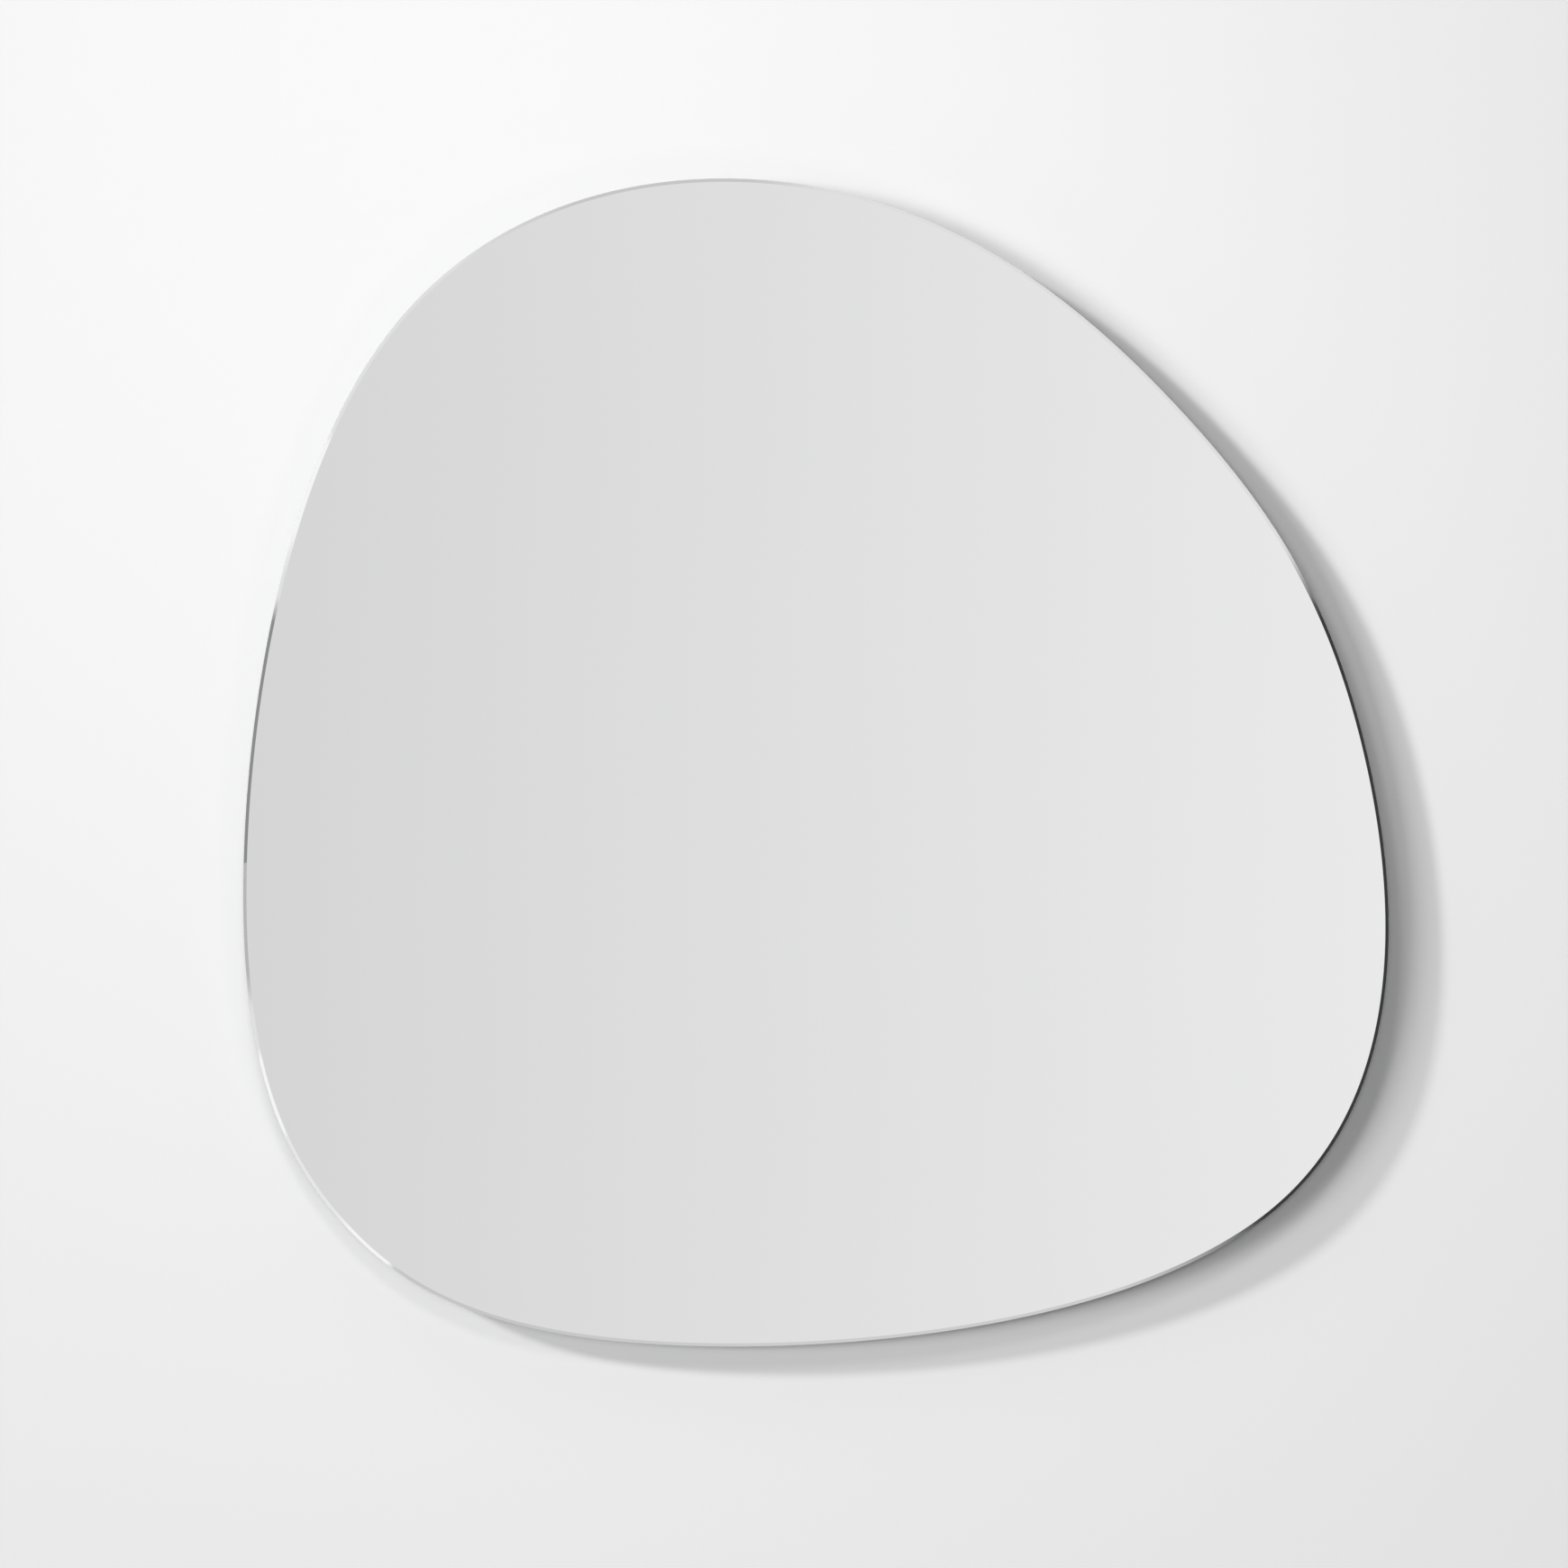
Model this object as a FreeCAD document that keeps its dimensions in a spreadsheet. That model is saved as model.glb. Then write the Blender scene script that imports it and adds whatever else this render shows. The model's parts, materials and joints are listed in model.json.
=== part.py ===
"""Frameless pebble-shaped wall mirror on a two-part hanging rail, with screw-out spacers below.

Millimetres, +Z up. The wall is the plane Y = 0 and the mirror faces -Y. The origin is on the wall, midway
between the wall rail's two screw holes. A depth is a distance from the wall, measured towards the room.
"""
import FreeCAD, Part
import math
import os
import Sketcher

# Control points of the pane's smooth closed outline, counter-clockwise as seen from the room
OUTLINE = [
    "right_shoulder", "crown", "left_shoulder", "left_side",
    "left_hip", "left_foot", "right_hip", "right_waist",
]

SIZES = {
    # outline control points, from the pane's middle
    "right_shoulder_x": 277, "right_shoulder_z": 241,
    "crown_x": 44, "crown_z": 443,
    "left_shoulder_x": -347, "left_shoulder_z": 384,
    "left_side_x": -426, "left_side_z": -153,
    "left_hip_x": -345, "left_hip_z": -336,
    "left_foot_x": -172, "left_foot_z": -433,
    "right_hip_x": 428, "right_hip_z": -372,
    "right_waist_x": 400, "right_waist_z": 55,
    # pane and its layers
    "pane_drop": 150,
    "glass_thickness": 5,
    "bevel_width": 2.5,
    "bevel_depth": 1.6,
    "rear_arris": 0.8,
    "coat_thickness": 0.2,
    "coat_inset": 1.5,
    "film_thickness": 0.3,
    "film_inset": 8,
    # bond between pane and board
    "bond_thickness": 1.5,
    "bond_pitch": 160,
    "tape_width": 19,
    "inner_tape_length": 600,
    "outer_tape_length": 400,
    "outer_tape_drop": 50,
    "bead_count": 3,
    "bead_width": 14,
    "bead_length": 460,
    "bead_drop": 30,
    # carrier board
    "board_thickness": 12,
    "board_inset": 58,
    "board_bevel": 3,
    # hanging rails: two extrusions of one wall thickness that hook over each other
    "rail_wall": 2.5,
    "rail_play": 0.3,
    "rail_base": 26,
    "rail_lip": 14,
    "rail_lead_in": 0.7,
    "lip_floor_gap": 1,
    "hook_rail_length": 400,
    "wall_rail_length": 350,
    "wall_hole_spacing": 280,
    "wall_hole_diameter": 5.5,
    # screws of the hook rail
    "screw_end_margin": 30,
    "screw_count": 5,
    "screw_diameter": 4,
    "screw_length": 12,
    "screw_head_diameter": 8,
    "screw_head_height": 2.2,
    "screw_head_edge": 1.2,
    "screw_head_flat": 4,
    "recess_reach": 2.2,
    "recess_width": 0.9,
    "recess_depth": 1.2,
    "screw_hole_play": 0.5,
    # spacers below
    "spacer_spread": 400,
    "spacer_drop": 240,
    "stud_diameter": 6,
    "stud_grip": 7,
    "stud_tip": 0.8,
    "spigot_diameter": 4,
    "spigot_length": 1.6,
    "spigot_end_gap": 0.2,
    "knob_diameter": 22,
    "knob_thickness": 3,
    "knob_edge": 0.5,
    "flute_count": 16,
    "flute_diameter": 2.6,
    "pad_diameter": 18,
    "pad_thickness": 2.5,
    "pad_edge": 0.6,
    "insert_diameter": 10,
    "insert_length": 10,
    "insert_flange_diameter": 14,
    "insert_flange": 1,
    # room past the end of a piece in a blind hole
    "blind_hole_room": 0.6,
    # radial gap of a shaft in its hole, and of a pressed-in piece in its seat
    "running_play": 0.05,
}

# Depths of the layers' faces, one on the other from the wall to the room. The hooked rails stand three
# walls deep, the hook's lip, the wall rail's lip and the hook's flange, each with its play.
BOARD_BACK = "3 * (sizes.rail_wall + sizes.rail_play)"
BOARD_FRONT = f"{BOARD_BACK} + sizes.board_thickness"
FILM_BACK = f"{BOARD_FRONT} + sizes.bond_thickness"
COAT_BACK = f"{FILM_BACK} + sizes.film_thickness"
GLASS_BACK = f"{COAT_BACK} + sizes.coat_thickness"
GLASS_FRONT = f"{GLASS_BACK} + sizes.glass_thickness"

# Hook rail flange: its wall side, and the height of its screws over the wall holes
FLANGE_BACK = f"({BOARD_BACK} - sizes.rail_wall)"
LIP_FOOT = "(sizes.rail_base / 2 + sizes.rail_wall)"
LIP_TOP = f"({LIP_FOOT} + sizes.rail_lip)"
SCREW_LINE = f"({LIP_TOP} + sizes.rail_wall + sizes.rail_base / 2)"
SCREW_SPAN = "(sizes.hook_rail_length - 2 * sizes.screw_end_margin)"
SCREW_HOLE = "(sizes.screw_diameter + 2 * sizes.running_play)"

doc = FreeCAD.newDocument("pebble_mirror")
sheet = doc.addObject("Spreadsheet::Sheet", "sizes")


def fill_sheet():
    """Writes each driving dimension to a cell that carries its name."""
    for line, (name, number) in enumerate(SIZES.items(), start=1):
        sheet.set(f"A{line}", name)
        sheet.set(f"B{line}", str(number))
        sheet.setAlias(f"B{line}", name)
    doc.recompute()


def value(expression):
    """The number that an expression over the sheet gives now."""
    return float(sheet.evalExpression(expression))


def point(x, y):
    return FreeCAD.Vector(value(x), value(y), 0)


def new_body(label, x="0", z="0"):
    """A body that stands at X, Z of the frame."""
    body = doc.addObject("PartDesign::Body", label)
    body.Label = label
    body.setExpression("Placement.Base.x", x)
    body.setExpression("Placement.Base.z", z)
    return body


def sketch_on(body, role, offset="0"):
    """An empty sketch on one of the body's own origin planes, moved along the plane's normal."""
    sketch = body.newObject("Sketcher::SketchObject", f"{body.Label}_sketch")
    plane = next(f for f in body.Origin.OriginFeatures if f.Role == role)
    sketch.AttachmentSupport = (plane, [""])
    sketch.MapMode = "FlatFace"
    sketch.setExpression("AttachmentOffset.Base.z", offset)
    return sketch


def bind(sketch, constraint, expression):
    index = sketch.addConstraint(constraint)
    sketch.setExpression(f"Constraints[{index}]", expression)


def pin(sketch, geometry, spot, x, y):
    """Ties one point of a sketch to two expressions."""
    bind(sketch, Sketcher.Constraint("DistanceX", -1, 1, geometry, spot, value(x)), x)
    bind(sketch, Sketcher.Constraint("DistanceY", -1, 1, geometry, spot, value(y)), y)


def polygon(sketch, corners):
    """A closed run of straight lines through corners that are pairs of expressions."""
    spots = [point(x, y) for x, y in corners]
    ends = spots[1:] + spots[:1]
    lines = [sketch.addGeometry(Part.LineSegment(a, b)) for a, b in zip(spots, ends)]
    for line, following in zip(lines, lines[1:] + lines[:1]):
        sketch.addConstraint(Sketcher.Constraint("Coincident", line, 2, following, 1))
    for line, (x, y) in zip(lines, corners):
        pin(sketch, line, 1, x, y)


def circle(sketch, x, y, diameter):
    shape = Part.Circle(point(x, y), FreeCAD.Vector(0, 0, 1), value(diameter) / 2)
    geometry = sketch.addGeometry(shape)
    pin(sketch, geometry, 3, x, y)
    bind(sketch, Sketcher.Constraint("Diameter", geometry, value(diameter)), diameter)


def pebble(sketch, inset):
    """The pane's outline with each control point pulled towards the middle by an inset."""
    corners = []
    for name in OUTLINE:
        x = f"sizes.{name}_x"
        z = f"sizes.{name}_z"
        pull = f"(1 - {inset} / hypot({x}; {z}))"
        corners.append((f"{x} * {pull}", f"{z} * {pull}"))
    curve = Part.BSplineCurve()
    curve.buildFromPolesMultsKnots([point(x, z) for x, z in corners], periodic=True, degree=3)
    outline = sketch.addGeometry(curve)
    sketch.exposeInternalGeometry(outline)
    for number, (x, z) in enumerate(corners, start=1):
        pin(sketch, outline + number, 3, x, z)


def pad(body, sketch, length, symmetric=False):
    feature = body.newObject("PartDesign::Pad", f"{body.Label}_pad")
    feature.Profile = sketch
    feature.setExpression("Length", length)
    feature.Midplane = symmetric
    doc.recompute()
    return feature


def revolve(body, sketch):
    """Turns a profile about the line through the body's origin along Y."""
    feature = body.newObject("PartDesign::Revolution", f"{body.Label}_turned")
    feature.Profile = sketch
    feature.ReferenceAxis = (sketch, ["V_Axis"])
    feature.Angle = 360
    doc.recompute()
    return feature


def pocket(body, sketch, length, along_normal=True):
    """Cuts a sketch into the body, and makes sure that it took something away."""
    faces = len(body.Shape.Faces)
    feature = body.newObject("PartDesign::Pocket", f"{body.Label}_pocket")
    feature.Profile = sketch
    feature.setExpression("Length", length)
    feature.Reversed = along_normal
    doc.recompute()
    if len(body.Shape.Faces) <= faces:
        raise RuntimeError(f"{body.Label}: a pocket cuts nothing")
    return feature


def row(body, features, length, count):
    """Repeats features along +X over a length."""
    pattern = body.newObject("PartDesign::LinearPattern", f"{body.Label}_row")
    pattern.Originals = features
    axis = next(f for f in body.Origin.OriginFeatures if f.Role == "X_Axis")
    pattern.Direction = (axis, [""])
    pattern.setExpression("Length", length)
    pattern.setExpression("Occurrences", count)
    body.Tip = pattern
    doc.recompute()


def rim_edges(feature, depth):
    """Names of the edges that lie at one depth."""
    level = -value(depth)
    names = []
    for number, edge in enumerate(feature.Shape.Edges, start=1):
        box = edge.BoundBox
        if abs(box.YMin - level) < 1e-4 and abs(box.YMax - level) < 1e-4:
            names.append(f"Edge{number}")
    return names


def chamfer(body, feature, depth, width, drop=None):
    """Cuts the edges at one depth back by a width across the face and a drop down the side, or evenly."""
    bevel = body.newObject("PartDesign::Chamfer", f"{body.Label}_bevel")
    bevel.Base = (feature, rim_edges(feature, depth))
    bevel.setExpression("Size", width)
    if drop:
        bevel.ChamferType = "Two distances"
        bevel.FlipDirection = True
        bevel.setExpression("Size2", drop)
    doc.recompute()
    return bevel


def pebble_plate(label, inset, back, thickness):
    """A flat plate of the pane's outline, and the pad that made it."""
    body = new_body(label, z="-sizes.pane_drop")
    sketch = sketch_on(body, "XZ_Plane", back)
    pebble(sketch, inset)
    return body, pad(body, sketch, thickness)


def mirror_glass():
    """The pane, with a polished bevel in front and a small arris behind."""
    body, blank = pebble_plate("mirror_glass", "0", GLASS_BACK, "sizes.glass_thickness")
    bevelled = chamfer(body, blank, GLASS_FRONT, "sizes.bevel_width", "sizes.bevel_depth")
    chamfer(body, bevelled, GLASS_BACK, "sizes.rear_arris")
    return body


def silver_coat():
    body, _ = pebble_plate("silver_coat", "sizes.coat_inset", COAT_BACK, "sizes.coat_thickness")
    return body


def safety_film():
    body, _ = pebble_plate("safety_film", "sizes.film_inset", FILM_BACK, "sizes.film_thickness")
    return body


def mounting_tapes():
    """Four upright foam strips between the board and the film, the outer two shorter and lower."""
    strips = []
    for number, step in enumerate((-1.5, -0.5, 0.5, 1.5), start=1):
        outer = abs(step) > 1
        length = "sizes.outer_tape_length" if outer else "sizes.inner_tape_length"
        drop = "sizes.outer_tape_drop" if outer else "0"
        strip = doc.addObject("Part::Box", f"tape_{number}")
        strip.setExpression("Length", "sizes.tape_width")
        strip.setExpression("Width", "sizes.bond_thickness")
        strip.setExpression("Height", length)
        strip.setExpression("Placement.Base.x", f"{step} * sizes.bond_pitch - sizes.tape_width / 2")
        strip.setExpression("Placement.Base.y", f"-({FILM_BACK})")
        strip.setExpression("Placement.Base.z", f"-sizes.pane_drop - {drop} - {length} / 2")
        strips.append(strip)
    group = doc.addObject("Part::Compound", "mounting_tapes")
    group.Links = strips
    return group


def adhesive_beads():
    """Upright round-ended beads, between the tapes and as thick as they are."""
    body = new_body("adhesive_beads", z="-sizes.pane_drop - sizes.bead_drop")
    sketch = sketch_on(body, "XZ_Plane", BOARD_FRONT)
    reach = "(sizes.bead_length - sizes.bead_width) / 2"
    radius = value("sizes.bead_width") / 2
    span = "((sizes.bead_count - 1) * sizes.bond_pitch)"
    middle = f"-{span} / 2"
    normal = FreeCAD.Vector(0, 0, 1)
    top = Part.Circle(point(middle, reach), normal, radius)
    foot = Part.Circle(point(middle, f"-{reach}"), normal, radius)
    upper = sketch.addGeometry(Part.ArcOfCircle(top, 0, math.pi))
    lower = sketch.addGeometry(Part.ArcOfCircle(foot, math.pi, 2 * math.pi))
    side = FreeCAD.Vector(radius, 0, 0)
    left = sketch.addGeometry(Part.LineSegment(top.Center - side, foot.Center - side))
    right = sketch.addGeometry(Part.LineSegment(foot.Center + side, top.Center + side))
    for one, end, other, start in ((upper, 2, left, 1), (left, 2, lower, 1), (lower, 2, right, 1),
                                   (right, 2, upper, 1)):
        sketch.addConstraint(Sketcher.Constraint("Tangent", one, end, other, start))
    pin(sketch, upper, 3, middle, reach)
    pin(sketch, lower, 3, middle, f"-{reach}")
    bind(sketch, Sketcher.Constraint("Radius", upper, radius), "sizes.bead_width / 2")
    bead = pad(body, sketch, "sizes.bond_thickness")
    row(body, [bead], span, "sizes.bead_count")
    return body


def backing_board():
    """The carrier, with seats for the threaded inserts and pilot holes for the hook rail's screws."""
    body, blank = pebble_plate("backing_board", "sizes.board_inset", BOARD_BACK, "sizes.board_thickness")
    chamfer(body, blank, BOARD_BACK, "sizes.board_bevel")
    seats = (
        ("sizes.insert_diameter", "sizes.insert_length + sizes.blind_hole_room"),
        ("sizes.insert_flange_diameter", "sizes.insert_flange"),
    )
    for insert_size, depth in seats:
        diameter = f"{insert_size} + 2 * sizes.running_play"
        sketch = sketch_on(body, "XZ_Plane", BOARD_BACK)
        for side in ("-", ""):
            circle(sketch, f"{side}sizes.spacer_spread / 2", "-sizes.spacer_drop", diameter)
        pocket(body, sketch, depth)
    sketch = sketch_on(body, "XZ_Plane", BOARD_BACK)
    circle(sketch, f"-{SCREW_SPAN} / 2", f"{SCREW_LINE} + sizes.pane_drop", SCREW_HOLE)
    pilot = pocket(body, sketch, "sizes.screw_length - sizes.rail_wall + sizes.blind_hole_room")
    row(body, [pilot], SCREW_SPAN, "sizes.screw_count")
    return body


def hook_rail():
    """The board's profile: a flange on the board, a web out to the wall side, and a lip hooking down."""
    body = new_body("hook_rail")
    sketch = sketch_on(body, "YZ_Plane")
    lip_back = "-sizes.rail_play"
    lip_front = "-(sizes.rail_play + sizes.rail_wall)"
    lip_end = f"({LIP_FOOT} + sizes.lip_floor_gap)"
    web_top = f"({LIP_TOP} + sizes.rail_wall)"
    flange_top = f"({web_top} + sizes.rail_base)"
    polygon(sketch, [
        (f"{lip_back} - sizes.rail_lead_in", lip_end),
        (lip_back, f"{lip_end} + sizes.rail_lead_in"),
        (lip_back, web_top),
        (f"-{FLANGE_BACK}", web_top),
        (f"-{FLANGE_BACK}", flange_top),
        (f"-({BOARD_BACK})", flange_top),
        (f"-({BOARD_BACK})", LIP_TOP),
        (lip_front, LIP_TOP),
        (lip_front, f"{lip_end} + sizes.rail_lead_in"),
        (f"{lip_front} + sizes.rail_lead_in", lip_end),
    ])
    pad(body, sketch, "sizes.hook_rail_length", symmetric=True)
    sketch = sketch_on(body, "XZ_Plane", FLANGE_BACK)
    circle(sketch, f"-{SCREW_SPAN} / 2", SCREW_LINE, "sizes.screw_diameter + sizes.screw_hole_play")
    hole = pocket(body, sketch, "sizes.rail_wall")
    row(body, [hole], SCREW_SPAN, "sizes.screw_count")
    return body


def hook_rail_screws():
    """Pan-head screws with a cross recess, heads on the flange's wall side."""
    body = new_body("hook_rail_screws", f"-{SCREW_SPAN} / 2", SCREW_LINE)
    sketch = sketch_on(body, "XY_Plane")
    head = "sizes.screw_head_diameter / 2"
    shank = "sizes.screw_diameter / 2"
    head_top = f"-({FLANGE_BACK} - sizes.screw_head_height)"
    tip = f"-({FLANGE_BACK} + sizes.screw_length)"
    polygon(sketch, [
        ("0", head_top),
        ("0", tip),
        (shank, f"{tip} + sizes.screw_diameter"),
        (shank, f"-{FLANGE_BACK}"),
        (head, f"-{FLANGE_BACK}"),
        (head, f"-{FLANGE_BACK} + sizes.screw_head_edge"),
        ("sizes.screw_head_flat / 2", head_top),
    ])
    turned = revolve(body, sketch)
    sketch = sketch_on(body, "XZ_Plane", f"{FLANGE_BACK} - sizes.screw_head_height")
    reach = "sizes.recess_reach"
    half = "sizes.recess_width / 2"
    polygon(sketch, [
        (half, half), (half, reach), (f"-{half}", reach), (f"-{half}", half),
        (f"-{reach}", half), (f"-{reach}", f"-{half}"), (f"-{half}", f"-{half}"), (f"-{half}", f"-{reach}"),
        (half, f"-{reach}"), (half, f"-{half}"), (reach, f"-{half}"), (reach, half),
    ])
    recess = pocket(body, sketch, "sizes.recess_depth")
    row(body, [turned, recess], SCREW_SPAN, "sizes.screw_count")
    return body


def wall_rail():
    """The wall's profile: a flange with two screw holes, a web out from the wall, and a lip standing up."""
    body = new_body("wall_rail")
    sketch = sketch_on(body, "YZ_Plane")
    flange_foot = "-sizes.rail_base / 2"
    web_foot = "sizes.rail_base / 2"
    lip_back = "-(sizes.rail_wall + 2 * sizes.rail_play)"
    lip_front = "-(2 * sizes.rail_wall + 2 * sizes.rail_play)"
    lip_side = f"{LIP_TOP} - sizes.rail_lead_in"
    polygon(sketch, [
        ("0", flange_foot),
        ("0", LIP_FOOT),
        (lip_back, LIP_FOOT),
        (lip_back, lip_side),
        (f"{lip_back} - sizes.rail_lead_in", LIP_TOP),
        (f"{lip_front} + sizes.rail_lead_in", LIP_TOP),
        (lip_front, lip_side),
        (lip_front, web_foot),
        ("-sizes.rail_wall", web_foot),
        ("-sizes.rail_wall", flange_foot),
    ])
    pad(body, sketch, "sizes.wall_rail_length", symmetric=True)
    sketch = sketch_on(body, "XZ_Plane")
    for side in ("-", ""):
        circle(sketch, f"{side}sizes.wall_hole_spacing / 2", "0", "sizes.wall_hole_diameter")
    pocket(body, sketch, "sizes.rail_wall")
    return body


def spacer_body(kind, side):
    """An empty body on the axis of the left or right spacer."""
    sign = "-" if side == "left" else ""
    x = f"{sign}sizes.spacer_spread / 2"
    z = "-sizes.pane_drop - sizes.spacer_drop"
    return new_body(f"{kind}_{side}", x, z)


def turned_piece(body, corners):
    """Revolves a profile of radius and depth pairs about the spacer's axis."""
    sketch = sketch_on(body, "XY_Plane")
    polygon(sketch, [(radius, f"-({depth})") for radius, depth in corners])
    return revolve(body, sketch)


def insert(side):
    """A flanged bush with a through bore, flush with the board's back."""
    body = spacer_body("insert", side)
    bore = "sizes.stud_diameter / 2 + sizes.running_play"
    barrel = "sizes.insert_diameter / 2"
    flange = "sizes.insert_flange_diameter / 2"
    turned_piece(body, [
        (bore, BOARD_BACK),
        (flange, BOARD_BACK),
        (flange, f"{BOARD_BACK} + sizes.insert_flange"),
        (barrel, f"{BOARD_BACK} + sizes.insert_flange"),
        (barrel, f"{BOARD_BACK} + sizes.insert_length"),
        (bore, f"{BOARD_BACK} + sizes.insert_length"),
    ])
    return body


def stud(side):
    """The spacer's shaft: a spigot in the pad, then the length that screws into the insert."""
    body = spacer_body("stud", side)
    spigot = "sizes.spigot_diameter / 2"
    shaft = "sizes.stud_diameter / 2"
    tip = f"{BOARD_BACK} + sizes.stud_grip"
    turned_piece(body, [
        ("0", "sizes.pad_thickness - sizes.spigot_length"),
        (spigot, "sizes.pad_thickness - sizes.spigot_length"),
        (spigot, "sizes.pad_thickness"),
        (shaft, "sizes.pad_thickness"),
        (shaft, f"{tip} - sizes.stud_tip"),
        (f"{shaft} - sizes.stud_tip", tip),
        ("0", tip),
    ])
    return body


def knob(side):
    """The adjusting wheel on the stud, with flutes round its rim."""
    body = spacer_body("knob", side)
    bore = "sizes.stud_diameter / 2 + sizes.running_play"
    rim = "sizes.knob_diameter / 2"
    near = "sizes.pad_thickness"
    far = "sizes.pad_thickness + sizes.knob_thickness"
    turned_piece(body, [
        (bore, near),
        (f"{rim} - sizes.knob_edge", near),
        (rim, f"{near} + sizes.knob_edge"),
        (rim, f"{far} - sizes.knob_edge"),
        (f"{rim} - sizes.knob_edge", far),
        (bore, far),
    ])
    sketch = sketch_on(body, "XZ_Plane", near)
    circle(sketch, rim, "0", "sizes.flute_diameter")
    flute = pocket(body, sketch, "sizes.knob_thickness")
    pattern = body.newObject("PartDesign::PolarPattern", f"{body.Label}_flutes")
    pattern.Originals = [flute]
    axis = next(f for f in body.Origin.OriginFeatures if f.Role == "Y_Axis")
    pattern.Axis = (axis, [""])
    pattern.Angle = 360
    pattern.setExpression("Occurrences", "sizes.flute_count")
    body.Tip = pattern
    doc.recompute()
    return body


def rubber_pad(side):
    """The disc that bears on the wall, with a blind seat for the stud's spigot."""
    body = spacer_body("pad", side)
    rim = "sizes.pad_diameter / 2"
    seat = "sizes.spigot_diameter / 2 + sizes.running_play"
    seat_floor = "sizes.pad_thickness - sizes.spigot_length - sizes.spigot_end_gap"
    turned_piece(body, [
        ("0", "0"),
        (f"{rim} - sizes.pad_edge", "0"),
        (rim, "sizes.pad_edge"),
        (rim, "sizes.pad_thickness"),
        (seat, "sizes.pad_thickness"),
        (seat, seat_floor),
        ("0", seat_floor),
    ])
    return body


def check(pieces):
    """Stops before anything is written if a feature failed or a piece is not sound."""
    doc.recompute()
    for item in doc.Objects:
        if "Invalid" in item.State or "Error" in item.State:
            raise RuntimeError(f"{item.Label} failed: {item.State}")
    for piece in pieces:
        if piece.Shape.isNull() or not piece.Shape.isValid() or not piece.Shape.Solids:
            raise RuntimeError(f"{piece.Label} has no sound solid")


def main():
    fill_sheet()
    pieces = [
        mirror_glass(), silver_coat(), safety_film(), mounting_tapes(), adhesive_beads(), backing_board(),
        hook_rail(), hook_rail_screws(), wall_rail(),
    ]
    for side in ("left", "right"):
        pieces += [insert(side), stud(side), knob(side), rubber_pad(side)]
    check(pieces)
    os.makedirs("parts", exist_ok=True)
    for piece in pieces:
        piece.Shape.exportStep(f"parts/{piece.Label}.step")
        box = piece.Shape.BoundBox
        print(f"{piece.Label}: {len(piece.Shape.Solids)} solids, {piece.Shape.Volume / 1000:.2f} cm3, "
              f"x {box.XMin:.1f}..{box.XMax:.1f}, y {box.YMin:.2f}..{box.YMax:.2f}, "
              f"z {box.ZMin:.1f}..{box.ZMax:.1f}")


main()
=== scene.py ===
"""Looks of the pebble wall mirror: a silvered pane on a board and hanging rail, before a plain pale wall."""
import json
import math

import bmesh
import bpy
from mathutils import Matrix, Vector


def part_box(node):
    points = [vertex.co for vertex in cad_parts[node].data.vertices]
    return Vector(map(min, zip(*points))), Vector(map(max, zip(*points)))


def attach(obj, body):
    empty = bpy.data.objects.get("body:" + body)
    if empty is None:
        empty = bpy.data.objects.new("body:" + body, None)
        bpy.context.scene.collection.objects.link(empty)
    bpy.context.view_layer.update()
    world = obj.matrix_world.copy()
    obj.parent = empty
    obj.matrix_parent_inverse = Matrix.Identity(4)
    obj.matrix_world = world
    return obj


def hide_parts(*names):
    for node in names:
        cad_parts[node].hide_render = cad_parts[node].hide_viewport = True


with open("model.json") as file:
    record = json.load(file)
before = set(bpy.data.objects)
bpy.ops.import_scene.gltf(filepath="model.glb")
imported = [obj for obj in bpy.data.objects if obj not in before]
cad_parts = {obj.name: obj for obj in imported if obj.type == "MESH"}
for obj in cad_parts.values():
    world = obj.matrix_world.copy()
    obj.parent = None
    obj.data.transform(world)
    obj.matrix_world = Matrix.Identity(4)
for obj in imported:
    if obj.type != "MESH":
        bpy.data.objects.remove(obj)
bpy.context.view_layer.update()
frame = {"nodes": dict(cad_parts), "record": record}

MM = 0.001
X_AXIS = (1, 0, 0)
Y_AXIS = (0, 1, 0)

# Pane: control points of its closed cubic outline, from its middle, counter-clockwise from the room
OUTLINE = [
    (277 * MM, 241 * MM), (44 * MM, 443 * MM), (-347 * MM, 384 * MM), (-426 * MM, -153 * MM),
    (-345 * MM, -336 * MM), (-172 * MM, -433 * MM), (428 * MM, -372 * MM), (400 * MM, 55 * MM),
]
PANE_DROP = 150 * MM
STEPS_PER_SPAN = 64
FACE_RINGS = 20

# Rim of the pane: the angles of the bevel's bands, from the face outwards, and the rear arris
BEVEL_WIDTH = 2.5 * MM
BEVEL_ANGLES = (31.5, 32.3, 32.9, 33.6)
ARRIS = 0.8 * MM

# Places of the pane's two materials
SILVERED = 0
POLISHED = 1

# Edge radius of each piece that keeps its solid's form
EDGE_RADII = {
    "mounting_tapes": 0.3 * MM,
    "adhesive_beads": 0.6 * MM,
    "backing_board": 0.6 * MM,
    "hook_rail": 0.35 * MM,
    "hook_rail_screws": 0.3 * MM,
    "wall_rail": 0.35 * MM,
    "insert_left": 0.2 * MM,
    "insert_right": 0.2 * MM,
}
ROUNDING_STEPS = 3
ROUND_PROFILE = 0.5

# Meshes: what counts as one point, as too short an edge, as flat, as an edge to round, and as a crease
WELD = 0.001 * MM
SHORT_EDGE = 0.05 * MM
FLAT = math.radians(0.05)
HARD_EDGE = math.radians(28)
CREASE = math.radians(40)

# Sheets behind the glass: how far each is set in from the rim, and its edge radius
SHEETS = {"silver_coat": (1.5 * MM, 0.05 * MM), "safety_film": (8 * MM, 0.1 * MM)}
SHEET_RINGS = 6

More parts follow.
